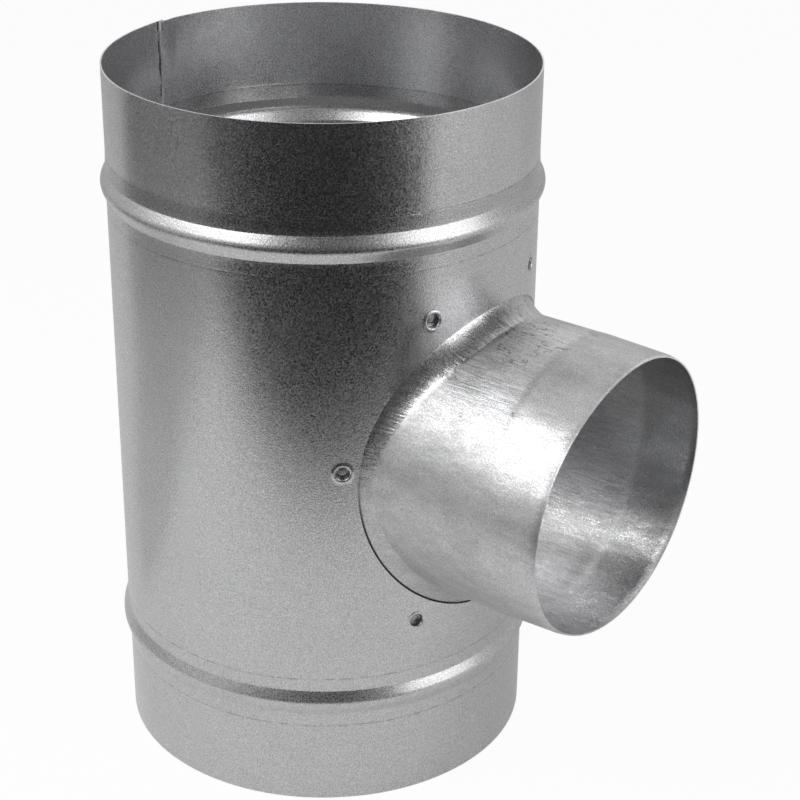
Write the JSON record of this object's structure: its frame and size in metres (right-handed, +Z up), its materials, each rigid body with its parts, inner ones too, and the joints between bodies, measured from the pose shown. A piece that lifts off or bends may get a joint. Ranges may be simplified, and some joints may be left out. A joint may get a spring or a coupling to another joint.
{
  "type": "reducing duct tee",
  "caption": "Galvanised steel reducing tee for round ducts: an open barrel with a stop bead near each end and a smaller deep-drawn branch clinched into its side.",
  "frame": {"origin": "centre of the barrel's bottom rim", "axes": "+Z up along the barrel's axis, +X along the branch out of its mouth; the barrel's lap seam lies on the -X side"},
  "size_m": [0.2032, 0.1538, 0.251],
  "materials": {
    "rolled_sheet": "bare galvanised sheet, fine spangle, satin",
    "drawn_sheet": "bare galvanised sheet, drawn, with fine streaks along the neck and a smooth band at the mouth"
  },
  "bodies": {
    "root": {"barrel": "rolled_sheet", "branch_collar": "drawn_sheet"}
  },
  "joints": []
}
